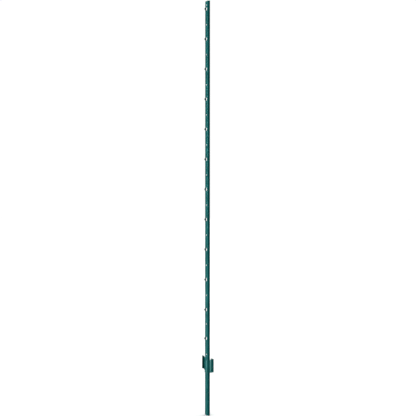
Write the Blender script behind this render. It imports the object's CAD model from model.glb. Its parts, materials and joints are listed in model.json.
"""A green enamelled steel post with sheared wire tabs and a welded anchor plate.

The post stands on z = 0 and runs up +Z. Its flat web lies on y = 0 and faces -Y, the tabs
reach out towards -Y and the legs flare back towards +Y. Shapes are worked out in millimetres
and stored in metres; floor, lights and camera are placed in metres.
"""

import json
import math
import random
from typing import NamedTuple

import bmesh
import bpy
import numpy as np
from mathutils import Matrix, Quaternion, Vector


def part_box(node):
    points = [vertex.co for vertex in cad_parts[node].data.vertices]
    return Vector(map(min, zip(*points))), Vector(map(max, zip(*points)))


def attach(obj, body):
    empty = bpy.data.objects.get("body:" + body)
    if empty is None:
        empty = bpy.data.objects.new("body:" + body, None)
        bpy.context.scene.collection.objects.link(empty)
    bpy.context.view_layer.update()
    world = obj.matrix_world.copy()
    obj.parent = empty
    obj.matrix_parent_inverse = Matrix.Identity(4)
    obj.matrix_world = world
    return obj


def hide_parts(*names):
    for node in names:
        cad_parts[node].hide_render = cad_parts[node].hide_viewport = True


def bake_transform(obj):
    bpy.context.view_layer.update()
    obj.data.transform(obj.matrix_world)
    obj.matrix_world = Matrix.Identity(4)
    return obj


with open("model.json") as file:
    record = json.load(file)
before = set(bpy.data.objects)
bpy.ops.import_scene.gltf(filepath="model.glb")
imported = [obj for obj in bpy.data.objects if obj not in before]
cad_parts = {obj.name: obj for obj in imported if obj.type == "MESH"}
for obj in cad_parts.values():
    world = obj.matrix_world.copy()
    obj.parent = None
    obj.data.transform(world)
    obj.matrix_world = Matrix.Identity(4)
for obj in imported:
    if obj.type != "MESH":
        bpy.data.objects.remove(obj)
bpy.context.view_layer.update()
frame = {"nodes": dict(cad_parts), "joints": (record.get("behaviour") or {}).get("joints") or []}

MM = 0.001

# ---------------------------------------------------------------- sizes read from the frame
joints = {j["child"]: j for j in frame["joints"]}
tab_names = sorted(n for n in frame["nodes"] if n.startswith("wire_tab_"))
weld_names = sorted(n for n in frame["nodes"] if n.startswith("anchor_weld_"))
tab_bodies = {n: n.replace("wire_tab_", "tab_") for n in tab_names}


def middle_height(part):
    low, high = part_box(part)
    return (low.z + high.z) / 2 / MM


tab_heights = {n: middle_height(n) for n in tab_names}
TAB_X = joints[tab_bodies[tab_names[0]]]["pos_m"][0] / MM  # mid plane of the tabs
tab_low, tab_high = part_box(tab_names[0])
TAB_HALF_HEIGHT = (tab_high.z - tab_low.z) / 2 / MM
TAB_REACH = -tab_low.y / MM
POST_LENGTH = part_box("post_channel")[1].z / MM
PLATE_BOTTOM = (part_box("anchor_plate")[0] / MM).z

# ---------------------------------------------------------------- driving sizes, mm
# Post sheet; s is the arc length across it, from the middle of the web
SHEET = 1.6
HALF_SHEET = SHEET / 2
WEB_CORNER_X = 11.5  # where the web and leg mid lines would meet
BEND_RADIUS = 2.8
FLARE = math.radians(55.7)  # turn of a leg from the web
LEG = 12.1  # from the corner to the free edge
SETBACK = BEND_RADIUS * math.tan(FLARE / 2)
WEB_END = WEB_CORNER_X - SETBACK
BEND_END = WEB_END + BEND_RADIUS * FLARE
LEG_END = BEND_END + LEG - SETBACK
POST_ROUNDING = 0.24  # of the sheared edges

# Round holes, placed from the tabs
HOLE_RADIUS = 3.5
HOLE_OVER_TOP_TAB = 20
HOLE_OVER_OTHER_TABS = 74
HOLE_UNDER_LAST_TAB = 81.5
tabs_down = sorted(tab_heights.values(), reverse=True)
hole_heights = [
    tabs_down[0] + HOLE_OVER_TOP_TAB,
    *(z + HOLE_OVER_OTHER_TABS for z in tabs_down[1:]),
    tabs_down[-1] - HOLE_UNDER_LAST_TAB,
]

# The windows the tabs are bent out of
WINDOW_LEFT = TAB_X - HALF_SHEET - 0.3  # the tab's bend line
WINDOW_RIGHT = 5.5
WINDOW_HALF_HEIGHT = 7.8
TAB_BEND_RADIUS = TAB_X - WINDOW_LEFT
TAB_SQUARE_REACH = 2.2  # full height up to this reach, an elliptical tip beyond it
TAB_ROUNDING = 0.22

# Anchor plate: flat on the web, wrapped along the legs, swept wings, end flanges leaning in
PLATE_SHEET = 1.6
PLATE_GAP = 1.1  # clearance to the web
PLATE_HEIGHT = 67.7
PLATE_WRAP = 12.4  # length alongside a leg
PLATE_CORNER_X = 51.6
PLATE_SWEEP = math.radians(16)
FLANGE = 17.25
FLANGE_LEAN = math.radians(32.6)
PLATE_RADII = (12.0, 3.2, 3.0)  # bends from the middle outwards
PLATE_OFFSET = HALF_SHEET + PLATE_GAP + PLATE_SHEET / 2
PLATE_ROUNDING = 0.3
PLATE_CORNER_RADIUS = 3
PLATE_END_RISE = 14.4  # how much higher the ends lie than the middle
WRAP_X = WEB_CORNER_X + PLATE_OFFSET * math.tan(FLARE / 2)
WING_X = WRAP_X + PLATE_WRAP * math.cos(FLARE)
WING_Y = -PLATE_OFFSET + PLATE_WRAP * math.sin(FLARE)


# ---------------------------------------------------------------- mesh building
class Section(NamedTuple):
    """Point numbers round one closed section of a sheet."""

    plus: list  # face on the plus side of the thickness, first column to last
    last: list  # round the edge beyond the last column, plus to minus
    minus: list  # the opposite face, first column to last
    first: list  # round the edge before the first column, plus to minus

    def rims(self):
        return (
            [self.plus[-1], *self.last, self.minus[-1]],
            [self.plus[0], *self.first, self.minus[0]],
        )


class Builder:
    def __init__(self):
        self.points = []
        self.faces = []

    def add(self, point):
        self.points.append(tuple(c * MM for c in point))
        return len(self.points) - 1

    def strip(self, below, above):
        for i in range(len(below) - 1):
            self.faces.append((below[i], below[i + 1], above[i + 1], above[i]))

    def mirrored_strip(self, below, above):
        for i in range(len(below) - 1):
            self.faces.append((below[i + 1], below[i], above[i], above[i + 1]))

    def join_rings(self, below, above):
        self.strip(below + below[:1], above + above[:1])

    def bridge(self, lower, upper, skip=(), mirror_first=False):
        """Joins two sections, leaving out both faces of the columns in skip."""
        for i in range(len(lower.plus) - 1):
            if i not in skip:
                self.strip(lower.plus[i:i + 2], upper.plus[i:i + 2])
                self.mirrored_strip(lower.minus[i:i + 2], upper.minus[i:i + 2])
        (last_below, first_below), (last_above, first_above) = lower.rims(), upper.rims()
        self.strip(last_below, last_above)
        join_first = self.mirrored_strip if mirror_first else self.strip
        join_first(first_below, first_above)

    def close(self, section, flip=False):
        """Fills a section across its thickness."""
        plus, minus = section.plus, section.minus
        for i in range(len(plus) - 1):
            face = (plus[i], plus[i + 1], minus[i + 1], minus[i])
            self.faces.append(face[::-1] if flip else face)
        for rim in section.rims():
            for i in range(len(rim) // 2):
                j = len(rim) - 1 - i
                if i + 1 < j - 1:
                    self.faces.append((rim[i], rim[i + 1], rim[j - 1], rim[j]))
                elif i + 1 == j - 1:
                    self.faces.append((rim[i], rim[i + 1], rim[j]))

    def drop_unused_points(self):
        used = sorted({i for face in self.faces for i in face})
        renumbered = {old: new for new, old in enumerate(used)}
        self.points = [self.points[i] for i in used]
        self.faces = [tuple(renumbered[i] for i in face) for face in self.faces]

    def make_object(self, name, material):
        """Smooth shaded object with its normals facing out."""
        mesh = bpy.data.meshes.new(name)
        mesh.from_pydata(self.points, [], self.faces)
        mesh.validate()
        bm = bmesh.new()
        bm.from_mesh(mesh)
        bmesh.ops.recalc_face_normals(bm, faces=bm.faces)
        if bm.calc_volume(signed=True) < 0:
            bmesh.ops.reverse_faces(bm, faces=bm.faces)
        bm.to_mesh(mesh)
        bm.free()
        for polygon in mesh.polygons:
            polygon.use_smooth = True
        mesh.materials.append(material)
        obj = bpy.data.objects.new(name, mesh)
        bpy.context.scene.collection.objects.link(obj)
        return obj


# ---------------------------------------------------------------- shader nodes
def add_node(tree, kind, inputs=None, **settings):
    """A node with its settings; each input is a value, or an output socket to link."""
    node = tree.nodes.new(kind)
    for key, value in settings.items():
        setattr(node, key, value)
    for key, value in (inputs or {}).items():
        if isinstance(value, bpy.types.NodeSocket):
            tree.links.new(value, node.inputs[key])
        else:
            node.inputs[key].default_value = value
    return node


def calculate(tree, operation, *values):
    inputs = dict(enumerate(values))
    return add_node(tree, "ShaderNodeMath", inputs, operation=operation).outputs[0]


def mix_colours(tree, factor, colour_a, colour_b):
    inputs = {0: factor, 6: colour_a, 7: colour_b}  # 6 and 7 are the colour sockets
    return add_node(tree, "ShaderNodeMix", inputs, data_type="RGBA").outputs[2]


def ramp(tree, source, start, end, start_colour=(0, 0, 0, 1), end_colour=(1, 1, 1, 1)):
    node = add_node(tree, "ShaderNodeValToRGB", {0: source})
    first, second = node.color_ramp.elements
    first.position, second.position = start, end
    first.color, second.color = start_colour, end_colour
    return node.outputs[0]


def grey(value):
    return (value, value, value, 1)


# ---------------------------------------------------------------- enamel
def enamel(name, base, rough, edge=1.0, streaks=1.0, seed=0.0, sheen=0.25):
    """Baked enamel on steel.

    edge and streaks scale the edge wear and the dip runs, seed shifts the patterns, and
    sheen is the red share of the reflection tint.
    """
    material = bpy.data.materials.new(name)
    material.use_nodes = True
    tree = material.node_tree
    tree.nodes.clear()
    position = add_node(tree, "ShaderNodeTexCoord").outputs["Object"]
    place = add_node(tree, "ShaderNodeMapping", {
        "Vector": position,
        "Location": (seed, seed * 0.7, seed * 1.3),
    }).outputs[0]

    def noise(scale, detail, roughness=0.5, stretch=None):
        vector = place
        if stretch:
            scaling = {"Vector": place, "Scale": stretch}
            vector = add_node(tree, "ShaderNodeMapping", scaling).outputs[0]
        return add_node(tree, "ShaderNodeTexNoise", {
            "Vector": vector,
            "Scale": scale,
            "Detail": detail,
            "Roughness": roughness,
        }).outputs[0]

    # slow drift between a darker and a lighter paint
    dark = tuple(c * 0.80 for c in base) + (1,)
    light = tuple(min(1, c * 1.16 + 0.002) for c in base) + (1,)
    colour = ramp(tree, noise(scale=14, detail=3), 0.35, 0.65, dark, light)

    # faint runs from the dip, drawn out along z
    runs = ramp(tree, noise(scale=160, detail=2, stretch=(1, 1, 0.03)), 0.42, 0.66)
    run_colour = tuple(c * 0.86 for c in base) + (1,)
    run_share = calculate(tree, "MULTIPLY", runs, 0.35 * streaks)
    colour = mix_colours(tree, run_share, colour, run_colour)

    # settled dust and rub marks
    specks = ramp(tree, noise(scale=900, detail=2, roughness=0.6), 0.70, 0.76)
    speck_share = calculate(tree, "MULTIPLY", specks, 0.18)
    colour = mix_colours(tree, speck_share, colour, (0.16, 0.26, 0.25, 1))

    # thin, broken, slightly lighter paint on the edges
    pointiness = add_node(tree, "ShaderNodeNewGeometry").outputs["Pointiness"]
    edges = ramp(tree, pointiness, 0.53, 0.60)
    broken = ramp(tree, noise(scale=420, detail=3, roughness=0.6), 0.46, 0.62)
    worn = calculate(tree, "MULTIPLY", calculate(tree, "MULTIPLY", edges, broken), 0.55 * edge)
    colour = mix_colours(tree, worn, colour, (0.10, 0.19, 0.185, 1))

    # uneven gloss, duller where worn
    gloss = noise(scale=55, detail=4, roughness=0.6)
    roughness = ramp(tree, gloss, 0.3, 0.7, grey(rough - 0.05), grey(rough + 0.07))
    worn_roughness = calculate(tree, "MULTIPLY", worn, 0.25)
    roughness = calculate(tree, "ADD", roughness, worn_roughness)

    # fine orange peel under broader lumps; distances in metres
    peel = add_node(tree, "ShaderNodeBump", {
        "Strength": 0.10,
        "Distance": 0.0006,
        "Height": noise(scale=620, detail=2),
    })
    lumps = add_node(tree, "ShaderNodeBump", {
        "Strength": 0.12,
        "Distance": 0.0015,
        "Height": noise(scale=90, detail=3, stretch=(1, 1, 0.35)),
        "Normal": peel.outputs[0],
    })
    paint = add_node(tree, "ShaderNodeBsdfPrincipled", {
        "Base Color": colour,
        "Roughness": roughness,
        "Metallic": 0.0,
        "Specular IOR Level": 0.45,
        "Specular Tint": (sheen, 1.0, 1.0, 1.0),
        "Normal": lumps.outputs[0],
    })
    add_node(tree, "ShaderNodeOutputMaterial", {0: paint.outputs[0]})
    return material


GREEN = (0.002, 0.137, 0.134)
PLATE_GREEN = (0.003, 0.148, 0.142)
WELD_GREEN = (0.003, 0.130, 0.125)
post_paint = enamel("post_enamel", GREEN, rough=0.30)
tab_paint = enamel("tab_enamel", GREEN, rough=0.32, edge=1.3, seed=3.1)
plate_paint = enamel(
    "plate_enamel", PLATE_GREEN, rough=0.30, edge=1.2, streaks=1.4, seed=7.7, sheen=0.55
)
weld_paint = enamel(
    "weld_enamel", WELD_GREEN, rough=0.38, edge=1.5, streaks=0.4, seed=11.3, sheen=0.55
)


# ---------------------------------------------------------------- post channel
WEB_CELLS = 8  # across the web
PATCH_CELLS = 8  # up the patch round an opening
BEND_CELLS = 12
WINDOW_PATCH = 10.6  # half heights of the patches, mm
HOLE_PATCH = 6.4
POST_STEP = 12  # a plain stretch is cut into whole steps of at least this, if it is long enough
# Height from the post's end, inset of the section
POST_END = ((0.0, 0.2), (0.06, 0.06), (0.22, 0.0), (0.9, 0.0))

# Arc lengths of the section's columns
side_columns = [
    *(WEB_END + (BEND_END - WEB_END) * i / BEND_CELLS for i in range(1, BEND_CELLS + 1)),
    *(BEND_END + d for d in (0.8, 3.4, 6.2, 8.6)),
    LEG_END - 0.75,
]
web_columns = [-WEB_END + 2 * WEB_END * i / WEB_CELLS for i in range(WEB_CELLS + 1)]
POST_COLUMNS = [-s for s in reversed(side_columns)] + web_columns + side_columns
FIRST_WEB_COLUMN = len(side_columns)

# Section through a punched edge, from the front face to the back face:
# distance outwards and height over the front face where the edge is rounded, then the same
# two where it is sharp
PUNCHED_EDGE = (
    (1.15, 0.0, 1.15, 0.0),
    (0.55, -0.02, 0.55, 0.0),
    (0.25, -0.07, 0.25, 0.0),
    (0.08, -0.17, 0.05, 0.0),
    (0.0, -0.36, 0.0, -0.02),
    (-0.04, -0.85, 0.0, -0.8),
    (-0.05, -1.42, 0.0, -1.58),
    (0.02, -1.57, 0.05, -1.6),
    (0.12, -1.63, 0.25, -1.6),
    (0.5, -1.60, 0.5, -1.6),
    (1.15, -1.6, 1.15, -1.6),
)


def waviness(s, z):
    """Slight unevenness of the rolled sheet along its normal, stronger out on the legs."""
    wave = 0.05 * math.sin(z / 61.0 + 0.4) + 0.035 * math.sin(z / 23.0 + 1.7 + s * 0.05)
    if abs(s) > BEND_END:
        out = (abs(s) - BEND_END) / (LEG_END - BEND_END)
        wave += 0.07 * out * math.sin(z / 77.0 + (2.1 if s > 0 else 0.3))
    return wave


def post_point(s, z, height):
    """Point at arc length s and height z, this far out of the front of the mid surface."""
    across, side = abs(s), (1 if s >= 0 else -1)
    height += waviness(s, z)
    turn = min(max((across - WEB_END) / BEND_RADIUS, 0.0), FLARE)
    if across <= WEB_END:
        x, y = across, 0.0
    else:
        x = WEB_END + BEND_RADIUS * math.sin(turn)
        y = BEND_RADIUS * (1 - math.cos(turn))
    if across > BEND_END:
        x += (across - BEND_END) * math.cos(FLARE)
        y += (across - BEND_END) * math.sin(FLARE)
    return (side * (x + math.sin(turn) * height), y - math.cos(turn) * height, z)


def post_section(builder, z, inset=0.0):
    half = HALF_SHEET - inset
    end = LEG_END - inset
    rounding = max(POST_ROUNDING - inset, 0.04)
    edge = [
        (end - rounding, half),
        (end - rounding * 0.29, half - rounding * 0.29),
        (end, half - rounding),
        (end, 0.0),
        (end, -(half - rounding)),
        (end - rounding * 0.29, -(half - rounding * 0.29)),
        (end - rounding, -half),
    ]

    def add_all(places):
        return [builder.add(post_point(s, z, height)) for s, height in places]

    return Section(
        plus=add_all((s, half) for s in POST_COLUMNS),
        last=add_all(edge),
        minus=add_all((s, -half) for s in POST_COLUMNS),
        first=add_all((-s, height) for s, height in edge),
    )


def hole_outline():
    """Points x, z and edge rounding, counterclockwise from +X."""
    count = 2 * (WEB_CELLS + PATCH_CELLS)
    angles = [2 * math.pi * k / count for k in range(count)]
    return [(HOLE_RADIUS * math.cos(a), HOLE_RADIUS * math.sin(a), 1.0) for a in angles]


def window_outline():
    """Points x, z and edge rounding; the edge is sharp where the tab grows out of the web."""
    angles = [math.radians(90 * k / 8) for k in range(9)]
    upper = [(WINDOW_RIGHT * math.cos(a), WINDOW_HALF_HEIGHT * math.sin(a), 1.0) for a in angles]
    upper += [
        (-1.6, WINDOW_HALF_HEIGHT, 1.0),
        (-3.2, WINDOW_HALF_HEIGHT, 1.0),
        (WINDOW_LEFT + 0.55, WINDOW_HALF_HEIGHT - 0.02, 1.0),
        (WINDOW_LEFT + 0.10, WINDOW_HALF_HEIGHT - 0.22, 0.9),
        (WINDOW_LEFT, TAB_HALF_HEIGHT - 0.1, 0.0),
        (WINDOW_LEFT, TAB_HALF_HEIGHT * 0.56, 0.0),
        (WINDOW_LEFT, TAB_HALF_HEIGHT * 0.28, 0.0),
        (WINDOW_LEFT, 0.0, 0.0),
    ]
    return upper + [(x, -z, rounding) for x, z, rounding in reversed(upper[1:-1])]


def patch_border(rows):
    """Border of the open patch on one face, counterclockwise from the middle of its +X side."""
    left, right = FIRST_WEB_COLUMN, FIRST_WEB_COLUMN + WEB_CELLS
    middle = PATCH_CELLS // 2
    return [
        *(rows[i][right] for i in range(middle, PATCH_CELLS)),
        *(rows[PATCH_CELLS][right - j] for j in range(WEB_CELLS)),
        *(rows[i][left] for i in range(PATCH_CELLS, 0, -1)),
        *(rows[0][left + j] for j in range(WEB_CELLS)),
        *(rows[i][right] for i in range(middle)),
    ]


def punch(builder, centre_z, outline, sections):
    """Fills the open patch with rings round an opening: front face, wall, back face."""
    outwards = []
    for k in range(len(outline)):
        before, after = outline[k - 1], outline[(k + 1) % len(outline)]
        along_x, along_z = after[0] - before[0], after[1] - before[1]
        length = math.hypot(along_x, along_z)
        outwards.append((along_z / length, -along_x / length))
    rings = [patch_border([section.plus for section in sections])]
    for soft_out, soft_height, hard_out, hard_height in PUNCHED_EDGE:
        ring = []
        for (x, z, rounding), (out_x, out_z) in zip(outline, outwards):
            out = hard_out + (soft_out - hard_out) * rounding
            height = HALF_SHEET + hard_height + (soft_height - hard_height) * rounding
            ring.append(builder.add(post_point(x + out_x * out, centre_z + z + out_z * out, height)))
        rings.append(ring)
    rings.append(patch_border([section.minus for section in sections]))
    for below, above in zip(rings, rings[1:]):
        builder.join_rings(below, above)


def build_post():
    builder = Builder()
    web_cells = range(FIRST_WEB_COLUMN, FIRST_WEB_COLUMN + WEB_CELLS)

    def grow(section, z, inset=0.0, skip=()):
        above = post_section(builder, z, inset)
        builder.bridge(section, above, skip=skip, mirror_first=True)
        return above

    def grow_plain(section, start, end):
        gap = end - start
        steps = max(1, int(gap / POST_STEP))
        for i in range(1, steps + 1):
            section = grow(section, start + gap * i / steps)
        return section

    openings = [(z, window_outline(), WINDOW_PATCH) for z in tab_heights.values()]
    openings += [(z, hole_outline(), HOLE_PATCH) for z in hole_heights]
    openings.sort(key=lambda opening: opening[0])

    section = post_section(builder, *POST_END[0])
    builder.close(section)
    for z, inset in POST_END[1:]:
        section = grow(section, z, inset)
    reached = POST_END[-1][0]
    for centre_z, outline, half in openings:
        bottom = centre_z - half
        sections = [grow_plain(section, reached, bottom)]
        for i in range(1, PATCH_CELLS + 1):
            z = bottom + 2 * half * i / PATCH_CELLS
            sections.append(grow(sections[-1], z, skip=web_cells))
        punch(builder, centre_z, outline, sections)
        section, reached = sections[-1], bottom + 2 * half
    section = grow_plain(section, reached, POST_LENGTH - POST_END[-1][0])
    for from_end, inset in POST_END[-2::-1]:
        section = grow(section, POST_LENGTH - from_end, inset)
    builder.close(section, flip=True)
    builder.drop_unused_points()  # those of the sections inside the patches
    return builder.make_object("post_channel_skin", post_paint)


post = build_post()
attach(post, "post")
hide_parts("post_channel")


# ---------------------------------------------------------------- wire tabs
TAB_COLUMNS = 10
TAB_BEND_CELLS = 8
TAB_FLAT_CELLS = 16
TAB_TIP_TRIM = 0.03  # the last station stops this short of the full reach
# Rim of the tab: share of the rounding outwards, share across the thickness
TAB_RIM = ((0.35, 1.0), (0.75, 0.72), (1.0, 0.25), (1.0, -0.25), (0.75, -0.72), (0.35, -1.0))
# Rings closing the tip: push towards -Y in mm, scale across the thickness, scale in height
TAB_TIP = ((0.015, 0.93, 0.97), (0.03, 0.80, 0.9))


def build_tab(name, index):
    """A tab leaves the web along the bend line, turns towards -Y and stands square to it."""
    centre_z = tab_heights[name]
    curl = 0.25 + 0.2 * random.Random(100 + index).random()  # lean of the tip towards -X
    bend = TAB_BEND_RADIUS * math.pi / 2
    flat = TAB_REACH - TAB_BEND_RADIUS
    builder = Builder()

    def mid(along):
        """Mid line x, y and thickness direction, which turns from -Y to +X in the bend."""
        if along <= bend:
            turn = along / TAB_BEND_RADIUS
            sine, cosine = math.sin(turn), math.cos(turn)
            x = WINDOW_LEFT + TAB_BEND_RADIUS * sine
            y = -(TAB_BEND_RADIUS - TAB_BEND_RADIUS * cosine)
            return x, y, sine, -cosine
        out = along - bend
        bow = -curl * (out / flat) ** 2
        slope = -2 * curl * out / flat**2
        length = math.hypot(1, slope)
        x = WINDOW_LEFT + TAB_BEND_RADIUS + bow
        return x, -TAB_BEND_RADIUS - out, 1 / length, slope / length

    def half_height(along):
        reach = along - bend + TAB_BEND_RADIUS
        if reach <= TAB_SQUARE_REACH:
            return TAB_HALF_HEIGHT
        tip = min(1.0, (reach - TAB_SQUARE_REACH) / (TAB_REACH - TAB_SQUARE_REACH))
        return TAB_HALF_HEIGHT * math.sqrt(max(0.0, 1 - tip * tip))

    def add(along, z, across):
        x, y, across_x, across_y = mid(along)
        return builder.add((x + across_x * across, y + across_y * across, centre_z + z))

    def tab_section(along):
        half = half_height(along)
        rounding = min(TAB_ROUNDING, half * 0.5)
        inner = half - rounding
        section = Section([], [], [], [])
        for c in range(TAB_COLUMNS + 1):
            z = -inner + 2 * inner * c / TAB_COLUMNS
            section.plus.append(add(along, z, HALF_SHEET))
            section.minus.append(add(along, z, -HALF_SHEET))
        for out, share in TAB_RIM:
            z = inner + rounding * out
            across = math.copysign(HALF_SHEET - TAB_ROUNDING * (1 - abs(share)), share)
            section.last.append(add(along, z, across))
            section.first.append(add(along, -z, across))
        return section

    def draw_in_tip(section):
        """Two smaller rings past the last section; returns the last one as a section."""
        outer = section.plus + section.last + section.minus[::-1] + section.first[::-1]
        tip_x = mid(stations[-1])[0]
        ring = outer
        for push, scale_x, scale_z in TAB_TIP:
            smaller = []
            for number in outer:
                x, y, z = (c / MM for c in builder.points[number])
                x = tip_x + (x - tip_x) * scale_x
                z = centre_z + (z - centre_z) * scale_z
                smaller.append(builder.add((x, y - push, z)))
            builder.join_rings(ring, smaller)
            ring = smaller
        plus_end = len(section.plus)
        last_end = plus_end + len(section.last)
        minus_end = last_end + len(section.minus)
        return Section(
            plus=ring[:plus_end],
            last=ring[plus_end:last_end],
            minus=ring[last_end:minus_end][::-1],
            first=ring[minus_end:][::-1],
        )

    stations = [bend * i / TAB_BEND_CELLS for i in range(TAB_BEND_CELLS + 1)]
    for i in range(1, TAB_FLAT_CELLS + 1):
        share = math.sin(math.pi / 2 * i / TAB_FLAT_CELLS)  # closer together towards the tip
        stations.append(bend + (flat - TAB_TIP_TRIM) * share)
    sections = [tab_section(along) for along in stations]
    for lower, upper in zip(sections, sections[1:]):
        builder.bridge(lower, upper)
    builder.close(sections[0])
    builder.close(draw_in_tip(sections[-1]))
    return builder.make_object(name + "_skin", tab_paint)


for index, name in enumerate(tab_names):
    tab = build_tab(name, index)
    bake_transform(tab)
    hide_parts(name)


# ---------------------------------------------------------------- anchor plate
PLATE_STEP = 2.2  # between stations on the straights
PLATE_BEND_STEP = math.radians(6)
# Lower edge: height over it, inset of the section; mirrored for the upper edge
PLATE_EDGE = ((0.0, 0.22), (0.07, 0.07), (0.28, 0.0), (1.0, 0.0))


def bent_line(corners, radii):
    """Stations x, y, normal x, normal y, arc length; the normal is to the left of travel."""
    stations = []

    def push(x, y, along_x, along_y):
        travelled = 0.0
        if stations:
            step = math.hypot(x - stations[-1][0], y - stations[-1][1])
            if step < 1e-6:
                return
            travelled = stations[-1][4] + step
        stations.append((x, y, -along_y, along_x, travelled))

    def push_straight(x0, y0, x1, y1):
        length = math.hypot(x1 - x0, y1 - y0)
        steps = max(1, round(length / PLATE_STEP))
        along = ((x1 - x0) / length, (y1 - y0) / length)
        for i in range(steps + 1):
            push(x0 + (x1 - x0) * i / steps, y0 + (y1 - y0) * i / steps, *along)

    def direction(x0, y0, x1, y1):
        length = math.hypot(x1 - x0, y1 - y0)
        return (x1 - x0) / length, (y1 - y0) / length

    start = corners[0]
    for (x, y), following, radius in zip(corners[1:], corners[2:], radii):
        in_x, in_y = direction(*start, x, y)
        out_x, out_y = direction(x, y, *following)
        turn = math.atan2(in_x * out_y - in_y * out_x, in_x * out_x + in_y * out_y)
        setback = radius * math.tan(abs(turn) / 2)
        bend_x, bend_y = x - in_x * setback, y - in_y * setback
        push_straight(*start, bend_x, bend_y)
        side = math.copysign(1, turn)
        centre_x, centre_y = bend_x - in_y * radius * side, bend_y + in_x * radius * side
        steps = max(4, round(abs(turn) / PLATE_BEND_STEP))
        for k in range(1, steps + 1):
            angle = turn * k / steps
            along_x = in_x * math.cos(angle) - in_y * math.sin(angle)
            along_y = in_x * math.sin(angle) + in_y * math.cos(angle)
            bent_x = centre_x + along_y * radius * side
            bent_y = centre_y - along_x * radius * side
            push(bent_x, bent_y, along_x, along_y)
        start = (x + out_x * setback, y + out_y * setback)
    push_straight(*start, *corners[-1])
    return stations


def build_plate():
    corner_y = WING_Y + (PLATE_CORNER_X - WING_X) * math.tan(PLATE_SWEEP)
    end_x = PLATE_CORNER_X - FLANGE * math.sin(FLANGE_LEAN)
    end_y = corner_y - FLANGE * math.cos(FLANGE_LEAN)
    half_line = [
        (WRAP_X, -PLATE_OFFSET),
        (WING_X, WING_Y),
        (PLATE_CORNER_X, corner_y),
        (end_x, end_y),
    ]
    corners = [(-x, y) for x, y in reversed(half_line)] + half_line
    line = bent_line(corners, PLATE_RADII[::-1] + PLATE_RADII)
    total = line[-1][4]
    builder = Builder()

    def mid(along):
        """Mid line x, y and unit normal at an arc length."""
        for before, after in zip(line, line[1:]):
            if along <= after[4] + 1e-9:
                share = (along - before[4]) / (after[4] - before[4])
                x, y, normal_x, normal_y = (
                    a + (b - a) * share for a, b in zip(before[:4], after[:4])
                )
                length = math.hypot(normal_x, normal_y)
                return x, y, normal_x / length, normal_y / length

    def edges(along):
        """Lower and upper edge: both rise towards the ends, with rounded corners."""
        share = abs(along - total / 2) / (total / 2)
        rise = PLATE_END_RISE * share**1.9
        into_corner = max(0.0, PLATE_CORNER_RADIUS - (1 - share) * (total / 2))
        square = PLATE_CORNER_RADIUS**2
        cut = PLATE_CORNER_RADIUS - math.sqrt(max(0.0, square - into_corner * into_corner))
        return PLATE_BOTTOM + rise + cut, PLATE_BOTTOM + PLATE_HEIGHT + rise - cut

    def plate_wave(along, z):
        """Unevenness of the free wings; the part on the post lies true."""
        free = min(1.0, max(0.0, (abs(along - total / 2) - 24) / 14))
        broad = math.sin(along / 17.0 + 0.8) * math.sin((z - PLATE_BOTTOM) / 21.0 + 0.5)
        return free * (0.14 * broad + 0.06 * math.sin(z / 9.0 + along / 13.0))

    inner_end = PLATE_ROUNDING + 0.6
    near_end = [PLATE_ROUNDING, PLATE_ROUNDING + 0.25, PLATE_ROUNDING + 0.7]
    columns = near_end + [p[4] for p in line if inner_end < p[4] < total - inner_end]
    columns += [total - distance for distance in near_end]
    columns = sorted({round(along, 5) for along in columns})

    def plate_section(share, shift, inset):
        """Section at a share of the height, shifted up by shift mm."""
        half = PLATE_SHEET / 2 - inset
        rounding = max(PLATE_ROUNDING - inset, 0.05)
        edge = [
            (rounding * 0.29, half - rounding * 0.29),
            (0.0, half - rounding),
            (0.0, 0.0),
            (0.0, -(half - rounding)),
            (rounding * 0.29, -(half - rounding * 0.29)),
        ]

        def add(along, across):
            bottom, top = edges(along)
            z = bottom + (top - bottom) * share + shift
            x, y, normal_x, normal_y = mid(along)
            across += plate_wave(along, z)
            return builder.add((x + normal_x * across, y + normal_y * across, z))

        # vertex numbers run plus, minus, last, first
        plus = [add(along, half) for along in columns]
        minus = [add(along, -half) for along in columns]
        last = [add(total - inset - back, across) for back, across in edge]
        first = [add(inset + back, across) for back, across in edge]
        return Section(plus=plus, last=last, minus=minus, first=first)

    sections = [plate_section(0, up, inset) for up, inset in PLATE_EDGE]
    sections += [plate_section(share, 0.0, 0.0) for share in np.linspace(0.05, 0.95, 18)]
    sections += [plate_section(1, -down, inset) for down, inset in reversed(PLATE_EDGE)]
    for lower, upper in zip(sections, sections[1:]):
        builder.bridge(lower, upper)
    builder.close(sections[0])
    builder.close(sections[-1])
    return builder.make_object("anchor_plate_skin", plate_paint)


plate = build_plate()
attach(plate, "post")
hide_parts("anchor_plate")


# ---------------------------------------------------------------- weld beads
WELD_STATIONS = 150
WELD_PITCH = 1.25  # between ripples
WELD_TAPER = 2.6  # length of the tapered ends
JITTERS = 64


def on_leg(out, along):
    """Point from the leg's edge: out of its front, and along it past the edge."""
    sine, cosine = math.sin(FLARE), math.cos(FLARE)
    edge_x, edge_y = WEB_CORNER_X + LEG * cosine, LEG * sine
    return (edge_x + cosine * along + sine * out, edge_y + sine * along - cosine * out)


def on_wing(along, out):
    """Point from the wing's inner corner: along the wing, and out of its back."""
    sine, cosine = math.sin(PLATE_SWEEP), math.cos(PLATE_SWEEP)
    lift = PLATE_SHEET / 2 + out
    return (WING_X + cosine * along - sine * lift, WING_Y + sine * along + cosine * lift)


# Foot of the bead on both sheets, as x, y on the +X side
WELD_FOOT = (
    on_leg(-0.55, 0.02), on_leg(0.2, 0.02), on_leg(0.72, 0.02),
    on_wing(0.9, 0.05), on_wing(2.2, 0.05), on_wing(3.7, 0.05),
)
# Crown from the wing over to the leg: along the wing, out of its back
WELD_CROWN = (
    (3.7, 0.45), (3.3, 1.15), (2.65, 1.8), (1.85, 2.35), (1.0, 2.7), (0.1, 2.85), (-0.7, 2.8),
)
WELD_CORE = on_wing(1.0, 1.0)  # the ends taper towards this


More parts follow.
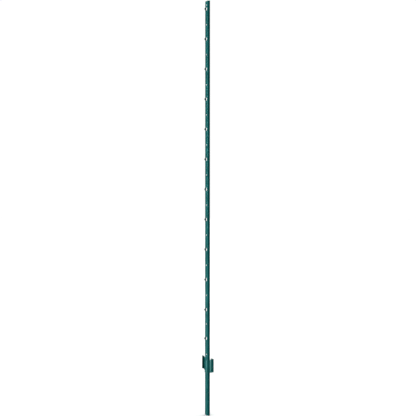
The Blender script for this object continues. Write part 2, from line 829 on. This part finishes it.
def build_weld(name, index):
    """A bead of overlapping crescents between the leg's edge and the back of the wing."""
    low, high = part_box(name)
    bottom, top = low.z / MM, high.z / MM
    side = 1 if high.x > 0 else -1
    rng = random.Random(700 + index)
    jitter = [rng.uniform(-1, 1) for _ in range(JITTERS)]
    builder = Builder()

    def crown_point(k, z):
        along, out = WELD_CROWN[k]
        across = (k + 0.5) / len(WELD_CROWN) * 2 - 1  # -1 at the wing, 1 at the leg
        phase = (z + 0.9 * (1 - across * across)) / WELD_PITCH
        ripple = math.floor(phase) % JITTERS
        within = phase - math.floor(phase)
        arch = math.sqrt(max(0.0, 1 - (2 * within - 1) ** 2)) - 0.55
        lift = (0.17 * arch + 0.10 * jitter[ripple]) * (1 - 0.5 * abs(across))
        width = 1 + 0.05 * jitter[(ripple * 7 + 3) % JITTERS]
        return on_wing(1.5 + (along - 1.5) * width, out + lift)

    def add(point, scale, z):
        x, y = (core + (c - core) * scale for c, core in zip(point, WELD_CORE))
        return builder.add((side * x, y, z))

    rings = []
    for i in range(WELD_STATIONS + 1):
        share = i / WELD_STATIONS
        z = bottom + (top - bottom) * share
        from_end = min(share, 1 - share) * (top - bottom)
        taper = math.sqrt(max(0.0, 1 - (1 - min(1.0, from_end / WELD_TAPER)) ** 2))
        ring = [add(point, 0.25 + 0.75 * taper, z) for point in WELD_FOOT]
        for k in range(len(WELD_CROWN)):
            ring.append(add(crown_point(k, z), 0.12 + 0.88 * taper, z))
        rings.append(ring)
    for below, above in zip(rings, rings[1:]):
        builder.join_rings(below, above)
    builder.faces += [tuple(rings[0]), tuple(rings[-1])]
    return builder.make_object(name + "_bead", weld_paint)


for index, name in enumerate(weld_names):
    weld = build_weld(name, index)
    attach(weld, "post")
    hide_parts(name)


# ---------------------------------------------------------------- floor
def floor_material():
    """Matte floor: pale to the camera, darker to other rays so it throws little light back."""
    material = bpy.data.materials.new("floor_pale")
    material.use_nodes = True
    tree = material.node_tree
    surface = tree.nodes["Principled BSDF"]
    surface.inputs["Roughness"].default_value = 0.95
    surface.inputs["Specular IOR Level"].default_value = 0.0
    rays = add_node(tree, "ShaderNodeLightPath").outputs
    unseen = mix_colours(tree, rays["Is Diffuse Ray"], grey(0.10), grey(0.28))
    colour = mix_colours(tree, rays["Is Camera Ray"], unseen, grey(0.93))
    tree.links.new(colour, surface.inputs["Base Color"])
    return material


def build_floor():
    bm = bmesh.new()
    bmesh.ops.create_circle(bm, cap_ends=True, radius=60.0, segments=96)
    mesh = bpy.data.meshes.new("floor")
    bm.to_mesh(mesh)
    bm.free()
    mesh.materials.append(floor_material())
    obj = bpy.data.objects.new("floor", mesh)
    obj.location = (0, 0, -0.0006)  # just under the post
    bpy.context.scene.collection.objects.link(obj)
    return obj


floor = build_floor()
floor.visible_glossy = False


# ---------------------------------------------------------------- world
BACKDROP = 1.02  # brightness seen by the camera
AMBIENT = 0.155  # brightness of the room as soft light
MIRRORED = 0.02  # brightness of the room in reflections
STRIP = 6.5  # brightness of the strip of light
STRIP_AZIMUTH = -36  # degrees from -Y towards +X
STRIP_HALF = 7  # half width, degrees
STRIP_BLUR = 4  # softening either side of its edge, degrees


def build_world():
    """White behind the part, a dim room round it and a tall strip seen only in reflections."""
    world = bpy.data.worlds.new("studio")
    bpy.context.scene.world = world
    world.use_nodes = True
    world.cycles.sampling_method = "NONE"  # reflections and soft light each see their own room
    tree = world.node_tree
    tree.nodes.clear()
    rays = add_node(tree, "ShaderNodeLightPath").outputs
    backdrop = add_node(tree, "ShaderNodeBackground", {0: (1, 1, 1, 1), 1: BACKDROP})
    room = add_node(tree, "ShaderNodeMapRange", {
        "Value": rays["Is Glossy Ray"],
        "To Min": AMBIENT,
        "To Max": MIRRORED,
    }).outputs["Result"]

    direction = add_node(tree, "ShaderNodeTexCoord").outputs["Generated"]
    axes = add_node(tree, "ShaderNodeSeparateXYZ", {0: direction}).outputs
    towards_front = calculate(tree, "MULTIPLY", axes[1], -1.0)
    azimuth = calculate(tree, "ARCTAN2", axes[0], towards_front)
    off_strip = calculate(tree, "SUBTRACT", azimuth, math.radians(STRIP_AZIMUTH))
    off_strip = calculate(tree, "ABSOLUTE", off_strip)
    band = add_node(tree, "ShaderNodeMapRange", {
        "Value": off_strip,
        "From Min": math.radians(STRIP_HALF + STRIP_BLUR),
        "From Max": math.radians(STRIP_HALF - STRIP_BLUR),
        "To Min": 0.0,
        "To Max": STRIP,
    }, interpolation_type="SMOOTHSTEP").outputs["Result"]
    strip = calculate(tree, "MULTIPLY", band, rays["Is Glossy Ray"])

    brightness = calculate(tree, "ADD", room, strip)
    surroundings = add_node(tree, "ShaderNodeBackground", {0: (0.97, 0.99, 1.0, 1), 1: brightness})
    mixed = add_node(tree, "ShaderNodeMixShader", {
        0: rays["Is Camera Ray"],
        1: surroundings.outputs[0],
        2: backdrop.outputs[0],
    })
    add_node(tree, "ShaderNodeOutputWorld", {0: mixed.outputs[0]})


build_world()


# ---------------------------------------------------------------- lights
def toward(azimuth, elevation=0.0):
    """Unit vector, in degrees: azimuth from -Y towards +X, elevation above the floor."""
    a, e = math.radians(azimuth), math.radians(elevation)
    return Vector((math.sin(a) * math.cos(e), -math.cos(a) * math.cos(e), math.sin(e)))


def place(name, data, location, back):
    """Links a light or camera whose rear points along back."""
    obj = bpy.data.objects.new(name, data)
    obj.location = location
    obj.rotation_mode = "QUATERNION"
    obj.rotation_quaternion = (-back).to_track_quat("-Z", "Y")
    bpy.context.scene.collection.objects.link(obj)
    return obj


def add_sun(name, azimuth, elevation, strength, angle):
    """A soft parallel light coming from that direction."""
    light = bpy.data.lights.new(name, "SUN")
    light.energy = strength
    light.angle = math.radians(angle)
    back = toward(azimuth, elevation)
    place(name, light, back * 6 + Vector((0, 0, 1)), back)


def add_low_box():
    """A low soft disc that brightens the web towards the foot."""
    light = bpy.data.lights.new("low_box", "AREA")
    light.shape = "DISK"
    light.size = 0.7
    light.energy = 5.0
    back = toward(-33)
    place("low_box", light, back * 1.6 + Vector((0, 0, 0.2)), back)


add_sun("key_left", azimuth=-27, elevation=2, strength=1.42, angle=16)
add_sun("overhead", azimuth=57, elevation=89, strength=2.75, angle=56)
add_sun("fill_back", azimuth=178, elevation=22, strength=1.3, angle=50)
add_low_box()

# ---------------------------------------------------------------- camera
VIEW_AZIMUTH = 57
VIEW_DISTANCE = 3.4
VIEW_WIDTH = 2.144896  # width in view at the aim point, m
AIM_RIGHT = 0.00835272  # aim point, to the right of the post's axis, m
AIM_HEIGHT = 1.067292
CAMERA_ROLL = 0.0005  # radians about the viewing axis
SENSOR_WIDTH = 36


def add_camera():
    data = bpy.data.cameras.new("camera")
    data.sensor_width = SENSOR_WIDTH
    data.lens = SENSOR_WIDTH * VIEW_DISTANCE / VIEW_WIDTH
    data.clip_start, data.clip_end = 0.05, 200
    back = toward(VIEW_AZIMUTH)
    aim = toward(VIEW_AZIMUTH + 90) * AIM_RIGHT + Vector((0, 0, AIM_HEIGHT))
    camera = place("camera", data, aim + back * VIEW_DISTANCE, back)
    roll = Quaternion((0, 0, 1), CAMERA_ROLL)
    camera.rotation_quaternion = camera.rotation_quaternion @ roll
    return camera


scene = bpy.context.scene
scene.view_settings.view_transform = "Standard"
scene.view_settings.look = "None"
scene.camera = add_camera()
